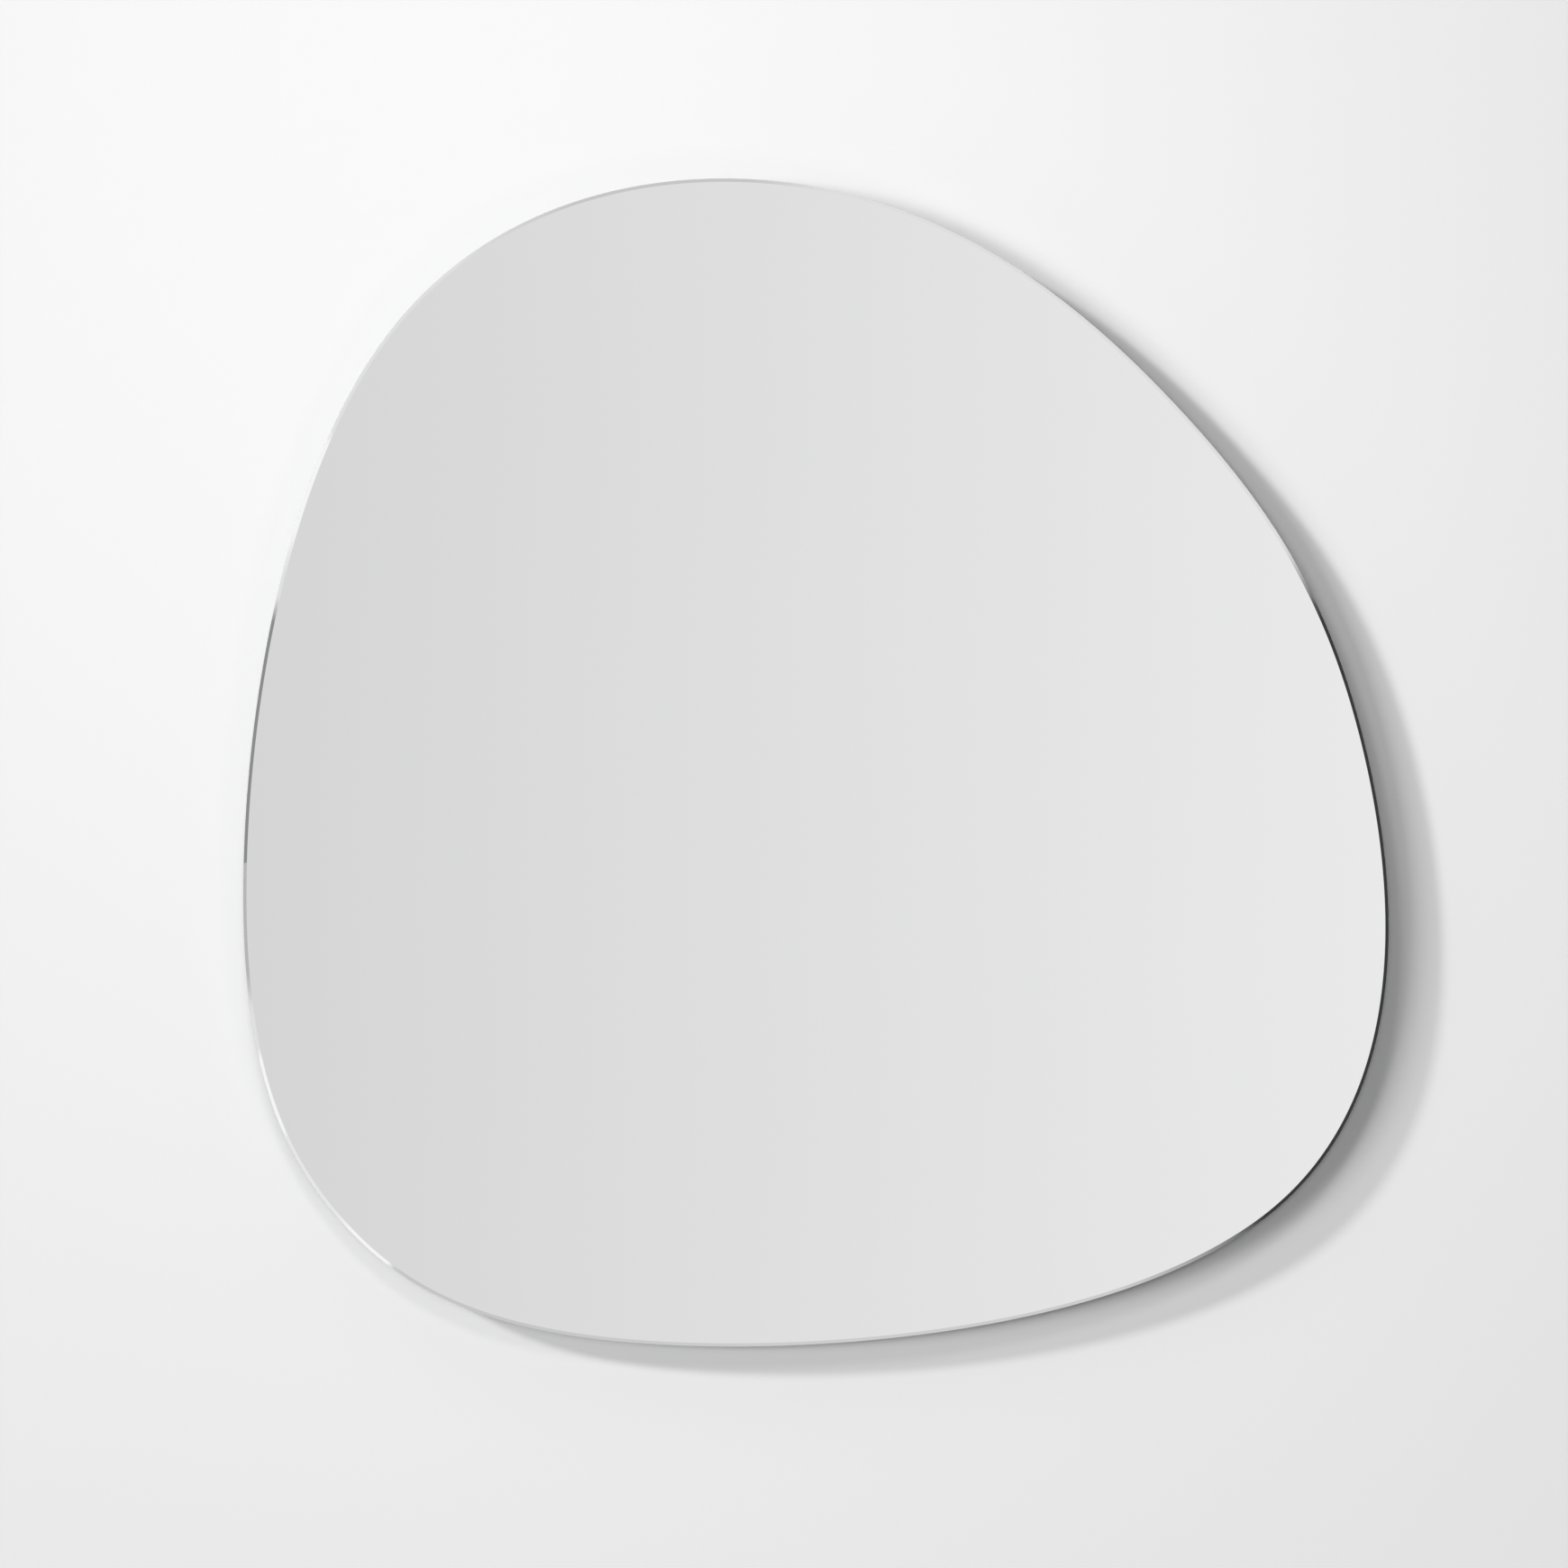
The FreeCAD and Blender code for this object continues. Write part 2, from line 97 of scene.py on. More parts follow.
# Film: its woven scrim, the part of a wave that is thread, and its wrinkles' height to a thread's
SCRIM_PITCH = 5 * MM
SCRIM_THREAD = (0.86, 0.97)
WRINKLE_SHARE = 1.2

# Board: the directions in which its fibres lie, in degrees
FIBRE_ANGLES = (9, 41, 78, 103, 147)

# Metals: how much of the aluminium's colour its die lines make, and the pitch of the brass's lathe marks
DIE_LINE_SHARE = 0.7
LATHE_PITCH = 0.12 * MM

# Materials: how squarely a face lies to an axis, from unlike to like, and a wave's length at a scale of 1
SQUARE_ON = (0.9, 0.97)
WAVE_LENGTH = 2 * math.pi / 20

# Screws of the hook rail: only the rim of the head is rounded, not the cross recess
SCREW_COUNT = 5
SCREW_HEAD_RADIUS = 4.0 * MM
RECESS_REACH = 2.3 * MM

# Spacers: a stud with a spigot, a plain collar and a metric thread, a fluted knob and a rubber foot
SPACER_SIDES = 48
RUNNING_PLAY = 0.05 * MM
SPIGOT_RADIUS = 2.0 * MM
SPIGOT_LENGTH = 1.6 * MM
COLLAR_LENGTH = 3.0 * MM
TIP_LENGTH = 0.8 * MM
KNOB_EDGE = 0.5 * MM
FLUTES = 16
FLUTE_RADIUS = 1.3 * MM
SIDES_PER_FLUTE = 24
BORE_EDGE = 0.2 * MM
FOOT_EDGE = 0.4 * MM
FOOT_WALL_EDGE = 0.6 * MM
SEAT_FLOOR = 0.7 * MM

# Thread of the studs: its crest and its root are shares of the pitch
THREAD_PITCH = 1.0 * MM
THREAD_DEPTH = 0.61 * MM
THREAD_CREST = 0.125
THREAD_ROOT = 0.25
RINGS_PER_TURN = 12

# Camera: the photograph's middle lies a little left of and under the pane's middle
LENS = 85.0
SENSOR = 36.0
FRAME_WIDTH = 1095.2 * MM
CAMERA_X = -21.4 * MM
CAMERA_Z = -164.5 * MM

# Studio: a wall and a floor, each of a grey that hardly varies
WALL_HALF = 3.0
WALL_TOP = 1.8
WALL_GAP = 0.6 * MM
WALL_OPENING_INSET = 36 * MM
WALL_GREYS = (0.528, 0.533)
FLOOR_Z = -1.75
FLOOR_REACH = 60.0
FLOOR_SIDES = 32
FLOOR_GREYS = (0.80, 0.81)

# Lamps: reach and size in metres, angle off straight ahead and clock angle in degrees, power in watts
LAMPS = {
    "key": dict(reach=14.0, off=61, clock=151, power=1580, width=1.4),
    "softbox": dict(reach=14.0, off=46, clock=177, power=1500, width=6.2, height=4.0),
    "camera_fill": dict(reach=2.6, off=3, clock=110, power=14, width=0.4),
    "front_fill": dict(reach=1.3, off=24, clock=115, power=4.2, width=0.3),
    "top_fill": dict(reach=2.0, off=60, clock=100, power=4.8, width=0.9),
    "low_fill": dict(reach=2.4, off=40, clock=-52, power=5.5, width=0.7),
    "back_fill": dict(reach=3.0, off=140, clock=40, power=60, width=1.2),
}

# World: the room straight ahead that the face shows, the room around it, and what lies behind the wall
FACE_LEVEL = 0.79
FACE_SLOPE = 0.538
FACE_EDGE = (16, 34)
ROOM_LEVEL = 0.45
ROOM_LEAN = (-0.1, -0.4, 0.0)
BEHIND_LEVEL = 0.5
WALL_PLANE = (-0.05, 0.10)

# Ring of cards that only the bevel shows: its soft edges, in degrees off straight ahead
RING_INNER = (67, 68.5)
RING_OUTER = (77.6, 78.1)

# Cards by clock angle from the right, start to end, with the light that each sends back
CARDS = [
    (-180, -172.5, 0.5), (-170, -165.5, 0.8), (-165, -154.5, 0.98), (-153.5, -138, 0.85),
    (-137.5, -127, 0.98), (-126.5, -106, 0.6), (-90, -69, 0.65), (-51, 23.5, 0.045),
    (30, 80, 0.78), (88, 108, 0.6), (128, 153.5, 0.8), (154, 162.5, 0.98),
    (163.5, 166.5, 0.8), (167, 178, 0.28),
]


def spline_point(points, u):
    """A point of the closed uniform cubic spline at parameter u, and its direction of travel."""
    span = int(math.floor(u))
    t = u - span
    p = [Vector(points[(span + k) % len(points)]) for k in range(4)]
    place = (
        p[0] * (1 - t) ** 3
        + p[1] * (3 * t ** 3 - 6 * t ** 2 + 4)
        + p[2] * (-3 * t ** 3 + 3 * t ** 2 + 3 * t + 1)
        + p[3] * t ** 3
    ) / 6
    travel = (
        -p[0] * (1 - t) ** 2
        + p[1] * (3 * t ** 2 - 4 * t)
        + p[2] * (-3 * t ** 2 + 2 * t + 1)
        + p[3] * t ** 2
    ) / 2
    return place, travel.normalized()


def outline(inset=0.0):
    """Points of the pane's outline set in by a distance along its normals, as X and Z in the frame."""
    ring = []
    for step in range(len(OUTLINE) * STEPS_PER_SPAN):
        place, travel = spline_point(OUTLINE, step / STEPS_PER_SPAN)
        inward = Vector((-travel.y, travel.x))
        place = place + inward * inset
        ring.append((place.x, place.y - PANE_DROP))
    return ring


def outline_ring(mesh, inset, y):
    """The pane's outline, set in, as a ring of new points at a depth."""
    return [mesh.verts.new((x, y, z)) for x, z in outline(inset)]


def arc(across, along, radius, start, end):
    """Points of a rounded edge about a centre in a profile, between two directions in degrees."""
    points = []
    for step in range(ROUNDING_STEPS + 1):
        turn = math.radians(start + (end - start) * step / ROUNDING_STEPS)
        points.append((across + radius * math.cos(turn), along + radius * math.sin(turn)))
    return points


def bridge(mesh, near, far, material=0, smooth=True):
    """Quads between two rings of equal length."""
    for i, vert in enumerate(near):
        j = (i + 1) % len(near)
        face = mesh.faces.new((vert, near[j], far[j], far[i]))
        face.material_index = material
        face.smooth = smooth


def cap(mesh, ring, material=0, rings=1):
    """Closes a flat ring with smaller copies of itself and a fan in the middle."""
    middle = sum((vert.co for vert in ring), Vector()) / len(ring)
    outer = ring
    for number in range(1, rings):
        share = 1 - number / rings
        inner = [mesh.verts.new(middle + (vert.co - middle) * share) for vert in ring]
        bridge(mesh, outer, inner, material, smooth=False)
        outer = inner
    hub = mesh.verts.new(middle)
    for i, vert in enumerate(outer):
        face = mesh.faces.new((vert, outer[(i + 1) % len(outer)], hub))
        face.material_index = material


def mark_sharp(ring):
    """Breaks the smooth shading along a ring."""
    for i, vert in enumerate(ring):
        other = ring[(i + 1) % len(ring)]
        for edge in vert.link_edges:
            if edge.other_vert(vert) is other:
                edge.smooth = False


def crease(mesh):
    """Smooth shading, broken at creases."""
    for face in mesh.faces:
        face.smooth = True
    for edge in mesh.edges:
        edge.smooth = edge.calc_face_angle(0) < CREASE


def new_object(name, mesh, materials):
    """An object in the scene from a finished mesh, with its materials."""
    bmesh.ops.recalc_face_normals(mesh, faces=mesh.faces)
    data = bpy.data.meshes.new(name)
    mesh.to_mesh(data)
    mesh.free()
    for material in materials:
        data.materials.append(material)
    made = bpy.data.objects.new(name, data)
    bpy.context.scene.collection.objects.link(made)
    return made


def stand_for(piece, node):
    """Puts a piece in a node's place: on the node's body, with the node hidden."""
    behaviour = frame["record"]["behaviour"]
    body = next(name for name, nodes in behaviour["bodies"].items() if node in nodes)
    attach(piece, body)
    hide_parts(node)


class Nodes:
    """A node tree, with short calls for what is used here."""

    def __init__(self, tree):
        self.tree = tree

    def node(self, kind, **settings):
        """A new node with its settings."""
        made = self.tree.nodes.new(kind)
        for name, setting in settings.items():
            setattr(made, name, setting)
        return made

    def feed(self, socket, given):
        """Links a socket to another, or sets a plain value on it."""
        if isinstance(given, bpy.types.NodeSocket):
            self.tree.links.new(given, socket)
        else:
            socket.default_value = given

    def math(self, operation, *inputs):
        """A number worked out from others."""
        made = self.node("ShaderNodeMath", operation=operation)
        for socket, given in zip(made.inputs, inputs):
            self.feed(socket, given)
        return made.outputs["Value"]

    def vector_math(self, operation, *inputs):
        """A vector, length or product worked out from vectors."""
        made = self.node("ShaderNodeVectorMath", operation=operation)
        for socket, given in zip(made.inputs, inputs):
            self.feed(socket, given)
        return made.outputs["Value" if operation in ("LENGTH", "DOT_PRODUCT") else "Vector"]

    def spread(self, factor, low=0.0, high=1.0, start=0.0, end=1.0, smooth=False):
        """Goes from low to high while a factor goes from start to end."""
        made = self.node("ShaderNodeMapRange", interpolation_type="SMOOTHSTEP" if smooth else "LINEAR")
        self.feed(made.inputs["Value"], factor)
        for name, number in (("From Min", start), ("From Max", end), ("To Min", low), ("To Max", high)):
            made.inputs[name].default_value = number
        return made.outputs["Result"]

    def mix(self, share, low, high):
        """A colour between two colours, each a socket or three numbers."""
        made = self.node("ShaderNodeMix", data_type="RGBA")
        self.feed(made.inputs["Factor"], share)
        colours = [socket for socket in made.inputs if socket.type == "RGBA"]
        for socket, given in zip(colours, (low, high)):
            self.feed(socket, (*given, 1) if isinstance(given, tuple) else given)
        return next(socket for socket in made.outputs if socket.type == "RGBA")

    def ramp(self, factor, stops):
        """Colours along a factor, from stops of position and colour."""
        made = self.node("ShaderNodeValToRGB")
        elements = made.color_ramp.elements
        while len(elements) < len(stops):
            elements.new(1.0)
        for element, (position, colour) in zip(elements, stops):
            element.position = position
            element.color = (*colour, 1)
        self.feed(made.inputs["Fac"], factor)
        return made.outputs["Color"]


class Paint(Nodes):
    """A material around one shader. Places are in metres, as all pieces sit at the frame's origin."""

    def __init__(self, name, **values):
        self.material = bpy.data.materials.new(name)
        self.material.use_nodes = True
        super().__init__(self.material.node_tree)
        self.shader = self.tree.nodes["Principled BSDF"]
        self.output = self.tree.nodes["Material Output"]
        self.place = self.node("ShaderNodeTexCoord").outputs["Object"]
        for socket, given in values.items():
            self.shader.inputs[socket.replace("_", " ")].default_value = given

    def set(self, socket, source):
        """Feeds one of the shader's own sockets."""
        self.feed(self.shader.inputs[socket], source)

    def stretched(self, stretch):
        """Places stretched along the axes."""
        return self.vector_math("MULTIPLY", self.place, stretch)

    def swung(self, degrees, stretch):
        """Places swung about Y, then stretched."""
        made = self.node("ShaderNodeVectorRotate", rotation_type="Y_AXIS")
        self.feed(made.inputs["Vector"], self.place)
        made.inputs["Angle"].default_value = math.radians(degrees)
        return self.vector_math("MULTIPLY", made.outputs["Vector"], stretch)

    def noise(self, scale, detail=3.0, place=None):
        """Cloudy noise of 0 to 1."""
        made = self.node("ShaderNodeTexNoise")
        self.feed(made.inputs["Vector"], place or self.place)
        made.inputs["Scale"].default_value = scale
        made.inputs["Detail"].default_value = detail
        return made.outputs["Fac"]

    def cells(self, scale):
        """Distance from the middle of the nearest cell."""
        made = self.node("ShaderNodeTexVoronoi")
        self.feed(made.inputs["Vector"], self.place)
        made.inputs["Scale"].default_value = scale
        return made.outputs["Distance"]

    def bands(self, axis, pitch):
        """A wave of 0 to 1 and back along an axis, once in each pitch."""
        made = self.node("ShaderNodeTexWave", wave_type="BANDS", bands_direction=axis)
        self.feed(made.inputs["Vector"], self.place)
        made.inputs["Scale"].default_value = WAVE_LENGTH / pitch
        return made.outputs["Fac"]

    def facing(self, axis):
        """1 where the true surface faces squarely along an axis, 0 where it faces elsewhere."""
        normal = self.node("ShaderNodeNewGeometry").outputs["True Normal"]
        likeness = self.math("ABSOLUTE", self.vector_math("DOT_PRODUCT", normal, axis))
        unlike, like = SQUARE_ON
        return self.spread(likeness, start=unlike, end=like)

    def tint(self, factor, dark, pale, start=0.3, end=0.7):
        """Goes from a dark colour to a pale one while a factor goes from start to end."""
        return self.ramp(factor, [(start, dark), (end, pale)])

    def bump(self, height, distance, strength=1.0):
        """Small relief of a height."""
        made = self.node("ShaderNodeBump")
        made.inputs["Strength"].default_value = strength
        made.inputs["Distance"].default_value = distance
        self.feed(made.inputs["Height"], height)
        self.set("Normal", made.outputs["Normal"])


def grey(level):
    """A colour of three equal parts."""
    return (level, level, level)


def silvered_mirror():
    """Silver seen through clear glass, taken together as one bright metal."""
    paint = Paint("silvered_mirror", Metallic=1.0)
    cloud = paint.noise(scale=3.0, detail=2.0)
    haze = paint.noise(scale=40.0, detail=4.0)
    paint.set("Base Color", paint.tint(cloud, (0.926, 0.93, 0.927), (0.932, 0.936, 0.933)))
    paint.set("Roughness", paint.spread(haze, low=0.004, high=0.012))
    return paint.material


def polished_edge():
    """The green body of the glass as seen through its ground and polished edge."""
    paint = Paint("polished_edge", IOR=1.52)
    cloud = paint.noise(scale=90.0, place=paint.stretched((1, 3, 1)))
    haze = paint.noise(scale=300.0, detail=4.0)
    grinding = paint.noise(scale=1500.0, detail=2.0, place=paint.stretched((0.2, 1, 0.2)))
    paint.set("Base Color", paint.tint(cloud, (0.13, 0.22, 0.18), (0.21, 0.31, 0.27)))
    paint.set("Roughness", paint.spread(haze, low=0.08, high=0.2))
    paint.bump(grinding, distance=0.02 * MM, strength=0.4)
    return paint.material


def backing_paint():
    """Grey paint over the silver, curtain-coated, with faint flow marks and orange peel."""
    paint = Paint("backing_paint")
    flow = paint.noise(scale=6.0, place=paint.stretched((1, 1, 5)))
    haze = paint.noise(scale=200.0)
    peel = paint.noise(scale=500.0, detail=2.0)
    paint.set("Base Color", paint.tint(flow, (0.42, 0.45, 0.46), (0.50, 0.53, 0.54)))
    paint.set("Roughness", paint.spread(haze, low=0.35, high=0.5))
    paint.bump(peel, distance=0.04 * MM, strength=0.5)
    return paint.material


def scrim_film():
    """Matt grey film with a woven scrim that shows through, thicker where the threads cross."""
    paint = Paint("scrim_film")
    bare, covered = SCRIM_THREAD
    warp = paint.spread(paint.bands("X", SCRIM_PITCH), start=bare, end=covered)
    weft = paint.spread(paint.bands("Z", SCRIM_PITCH), start=bare, end=covered)
    threads = paint.math("MAXIMUM", warp, weft)
    crossings = paint.math("ADD", warp, weft)
    cloud = paint.noise(scale=5.0, detail=4.0)
    ground = paint.tint(cloud, (0.27, 0.285, 0.295), (0.33, 0.345, 0.355))
    relief = paint.math("MULTIPLY_ADD", paint.noise(scale=14.0), WRINKLE_SHARE, crossings)
    paint.set("Base Color", paint.mix(threads, ground, (0.44, 0.455, 0.46)))
    paint.set("Roughness", paint.spread(threads, low=0.42, high=0.62))
    paint.bump(relief, distance=0.25 * MM, strength=0.6)
    return paint.material


def foam_tape():
    """White foam with open pores, with painted shade in their hollows."""
    paint = Paint("foam_tape", Roughness=0.85)
    pore_depth_and_shade = paint.cells(scale=1400.0)
    # Painted shade: the colour darkens towards each pore's middle, the low point of the bump
    paint.set("Base Color", paint.tint(pore_depth_and_shade, (0.62, 0.62, 0.60), (0.84, 0.84, 0.82), start=0.1, end=0.5))
    paint.bump(pore_depth_and_shade, distance=0.15 * MM)
    return paint.material


def cured_adhesive():
    """Cream adhesive, a little uneven from the nozzle."""
    paint = Paint("cured_adhesive", Subsurface_Weight=0.1)
    cloud = paint.noise(scale=60.0)
    haze = paint.noise(scale=300.0)
    lumps = paint.noise(scale=120.0, detail=2.0)
    paint.set("Base Color", paint.tint(cloud, (0.66, 0.63, 0.54), (0.76, 0.74, 0.67)))
    paint.set("Roughness", paint.spread(haze, low=0.35, high=0.55))
    paint.bump(lumps, distance=0.4 * MM, strength=0.6)
    return paint.material


def dyed_fibreboard():
    """Black dyed fibreboard: sanded faces with pale flecks, and a rougher, paler milled edge."""
    paint = Paint("dyed_fibreboard")
    fibres = 0.0
    for degrees in FIBRE_ANGLES:
        lying = paint.noise(scale=2200.0, detail=2.0, place=paint.swung(degrees, (0.18, 1, 1)))
        fibres = paint.math("MAXIMUM", lying, fibres)
    flecks = paint.spread(fibres, start=0.62, end=0.80)
    cloud = paint.noise(scale=25.0, detail=5.0)
    ground = paint.tint(cloud, (0.036, 0.034, 0.032), (0.046, 0.043, 0.040))
    face = paint.mix(flecks, ground, (0.115, 0.108, 0.1))
    layers = paint.noise(scale=1800.0, place=paint.stretched((0.3, 1, 0.3)))
    edge = paint.tint(layers, (0.045, 0.042, 0.039), (0.09, 0.084, 0.077), start=0.35, end=0.65)
    flat = paint.facing(Y_AXIS)
    paint.set("Base Color", paint.mix(flat, edge, face))
    paint.set("Roughness", paint.spread(flat, low=0.8, high=0.5))
    paint.bump(fibres, distance=0.12 * MM, strength=0.6)
    return paint.material


def extruded_aluminium():
    """Mill-finish extrusion: die lines along its length, and saw marks on the cut ends."""
    paint = Paint("extruded_aluminium", Metallic=1.0)
    lines = paint.noise(scale=1600.0, place=paint.stretched((0.004, 1, 1)))
    saw = paint.noise(scale=2200.0, detail=2.0, place=paint.stretched((0.05, 1, 0.08)))
    marks = paint.mix(paint.facing(X_AXIS), lines, saw)
    cloud = paint.math("MULTIPLY", paint.noise(scale=30.0), 1 - DIE_LINE_SHARE)
    streaks = paint.math("MULTIPLY_ADD", marks, DIE_LINE_SHARE, cloud)
    paint.set("Base Color", paint.tint(streaks, (0.64, 0.65, 0.66), (0.82, 0.83, 0.84), start=0.35, end=0.65))
    paint.set("Roughness", paint.spread(marks, low=0.22, high=0.46, start=0.3, end=0.7))
    paint.bump(marks, distance=0.06 * MM, strength=0.7)
    return paint.material


def zinc_plate():
    """Bright zinc with a faint straw and blue passivation."""
    paint = Paint("zinc_plate", Metallic=1.0)
    cloud = paint.noise(scale=350.0, detail=2.0)
    haze = paint.noise(scale=1200.0)
    grain = paint.noise(scale=2500.0, detail=2.0)
    paint.set("Base Color", paint.tint(cloud, (0.52, 0.55, 0.60), (0.63, 0.63, 0.60)))
    paint.set("Roughness", paint.spread(haze, low=0.18, high=0.36))
    paint.bump(grain, distance=0.01 * MM, strength=0.4)
    return paint.material


def turned_brass(axis):
    """Brass with the fine rings that a lathe leaves round the spacer's axis."""
    paint = Paint("turned_brass", Metallic=1.0)
    across = paint.vector_math("SUBTRACT", paint.place, (axis.x, 0, axis.z))
    radius = paint.vector_math("LENGTH", paint.vector_math("MULTIPLY", across, (1, 0, 1)))
    rings = paint.math("PINGPONG", radius, LATHE_PITCH)
    cloud = paint.noise(scale=300.0, detail=2.0)
    paint.set("Base Color", paint.tint(cloud, (0.66, 0.47, 0.18), (0.80, 0.61, 0.28)))
    paint.set("Roughness", paint.spread(cloud, low=0.2, high=0.36))
    paint.bump(rings, distance=0.3, strength=0.5)
    return paint.material


def moulded_plastic():
    """Mid-grey plastic with a fine moulded grain."""
    paint = Paint("moulded_plastic")
    cloud = paint.noise(scale=120.0, detail=2.0)
    haze = paint.noise(scale=900.0)
    grain = paint.noise(scale=3500.0, detail=2.0)
    paint.set("Base Color", paint.tint(cloud, (0.46, 0.47, 0.48), (0.54, 0.55, 0.56)))
    paint.set("Roughness", paint.spread(haze, low=0.42, high=0.6))
    paint.bump(grain, distance=0.04 * MM, strength=0.5)
    return paint.material


def matt_rubber():
    """Black rubber with a bloom of pale dust in its grain."""
    paint = Paint("matt_rubber")
    bloom = paint.noise(scale=1700.0, detail=6.0)
    dusted = paint.tint(bloom, (0.020, 0.020, 0.021), (0.06, 0.06, 0.061), start=0.35, end=0.75)
    paint.set("Base Color", dusted)
    paint.set("Roughness", paint.spread(bloom, low=0.65, high=0.9))
    paint.bump(bloom, distance=0.06 * MM, strength=0.7)
    return paint.material


def pane():
    """The pane with its crowned bevel, edge land and rear arris, in place of the plain solid."""
    low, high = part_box("mirror_glass")
    mesh = bmesh.new()
    inset = BEVEL_WIDTH
    y = low.y
    rings = [outline_ring(mesh, inset, y)]
    step = BEVEL_WIDTH / len(BEVEL_ANGLES)
    for angle in BEVEL_ANGLES:
        inset -= step
        y += step * math.tan(math.radians(angle))
        rings.append(outline_ring(mesh, inset, y))
    land_back = outline_ring(mesh, 0, high.y - ARRIS)
    rear = outline_ring(mesh, ARRIS, high.y)
    cap(mesh, rings[0], SILVERED, FACE_RINGS)
    for near, far in zip(rings, rings[1:]):
        bridge(mesh, near, far, SILVERED)
    bridge(mesh, rings[-1], land_back, POLISHED)
    bridge(mesh, land_back, rear, POLISHED)
    cap(mesh, rear, POLISHED, FACE_RINGS)
    for ring in (rings[0], rings[-1], land_back, rear):
        mark_sharp(ring)
    piece = new_object("mirror_pane", mesh, [silvered_mirror(), polished_edge()])
    stand_for(piece, "mirror_glass")


def sheet(node, material):
    """A thin layer behind the glass, cut to the outline, with soft edges, in place of the plain solid."""
    inset, edge = SHEETS[node]
    low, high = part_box(node)
    mesh = bmesh.new()
    front_edge = arc(inset + edge, low.y + edge, edge, 270, 180)
    back_edge = arc(inset + edge, high.y - edge, edge, 180, 90)
    rings = [outline_ring(mesh, *spot) for spot in front_edge + back_edge]
    for near, far in zip(rings, rings[1:]):
        bridge(mesh, near, far)
    cap(mesh, rings[0], rings=SHEET_RINGS)
    cap(mesh, rings[-1], rings=SHEET_RINGS)
    stand_for(new_object(f"{node}_sheet", mesh, [material]), node)


def clear_of_recess(edges):
    """The edges of the row of screws that lie clear of the cross recess in each head."""
    low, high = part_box("hook_rail_screws")
    first = low.x + SCREW_HEAD_RADIUS
    pitch = (high.x - low.x - 2 * SCREW_HEAD_RADIUS) / (SCREW_COUNT - 1)
    middle = (low.z + high.z) / 2

    def off_axis(vert):
        """How far a point lies from its own screw's axis."""
        across = (vert.co.x - first + pitch / 2) % pitch - pitch / 2
        return math.hypot(across, vert.co.z - middle)

    return [edge for edge in edges if all(off_axis(vert) > RECESS_REACH for vert in edge.verts)]


def rounded(node, material):
    """A solid's form with its hard edges rounded, in place of the plain solid."""
    mesh = bmesh.new()
    mesh.from_mesh(frame["nodes"][node].data)
    bmesh.ops.remove_doubles(mesh, verts=mesh.verts, dist=WELD)
    bmesh.ops.dissolve_degenerate(mesh, edges=mesh.edges, dist=SHORT_EDGE)
    bmesh.ops.dissolve_limit(mesh, angle_limit=FLAT, verts=mesh.verts, edges=mesh.edges)
    hard = [edge for edge in mesh.edges if edge.is_manifold and edge.calc_face_angle() > HARD_EDGE]
    if node == "hook_rail_screws":
        hard = clear_of_recess(hard)
    bmesh.ops.bevel(
        mesh, geom=hard, affect="EDGES", offset=EDGE_RADII[node], offset_type="OFFSET",
        segments=ROUNDING_STEPS, profile=ROUND_PROFILE, clamp_overlap=False,
    )
    for face in mesh.faces:
        face.material_index = 0
    crease(mesh)
    piece = new_object(f"{node}_finished", mesh, [material])
    piece.modifiers.new("even_shading", "WEIGHTED_NORMAL").keep_sharp = True
    stand_for(piece, node)


def turned(node, name, profile, material, sides=SPACER_SIDES, shape=None, hollow=False):
    """A profile of radius and Y, turned about a node's axis, in place of the plain solid."""
    low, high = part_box(node)
    axis = (low + high) / 2
    mesh = bmesh.new()
    rings = []
    for radius, y in profile:
        ring = []
        for side in range(sides):
            share = side / sides
            reach = shape(radius, y, share) if shape else radius
            angle = 2 * math.pi * share
            spot = (axis.x + reach * math.cos(angle), y, axis.z + reach * math.sin(angle))
            ring.append(mesh.verts.new(spot))
        rings.append(ring)
    for near, far in zip(rings, rings[1:]):
        bridge(mesh, near, far)
    if hollow:
        bridge(mesh, rings[-1], rings[0])
    else:
        cap(mesh, rings[0])
        cap(mesh, rings[-1])
    crease(mesh)
    stand_for(new_object(name, mesh, [material]), node)


def thread_cut(turns):
    """How deep the thread is cut at a number of turns along it, from crest to root and back."""
    share = turns % 1.0
    flank = (1 - THREAD_CREST - THREAD_ROOT) / 2
    if share < THREAD_CREST:
        return 0.0
    if share < THREAD_CREST + flank:
        return THREAD_DEPTH * (share - THREAD_CREST) / flank
    if share < THREAD_CREST + flank + THREAD_ROOT:
        return THREAD_DEPTH
    return THREAD_DEPTH * (1 - share) / flank


def stud(side, material):
    """A spigot for the foot, a plain collar that carries the knob, and a thread to the pointed tip."""
    node = f"stud_{side}"
    low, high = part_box(node)
    radius = (high.x - low.x) / 2
    shoulder = high.y - SPIGOT_LENGTH
    collar_end = shoulder - COLLAR_LENGTH
    profile = [(SPIGOT_RADIUS, high.y), (SPIGOT_RADIUS, shoulder)]
    profile += [(radius, shoulder), (radius, collar_end)]
    count = round((collar_end - low.y) / THREAD_PITCH * RINGS_PER_TURN)
    for step in range(1, count + 1):
        y = collar_end + (low.y - collar_end) * step / count
        profile.append((min(radius, radius - TIP_LENGTH + y - low.y), y))

    def threaded(reach, y, share):
        """The thread's own reach beyond the collar."""
        if y >= collar_end:
            return reach
        return min(reach, radius - thread_cut((collar_end - y) / THREAD_PITCH + share))

    turned(node, f"{node}_threaded", profile, material, shape=threaded)


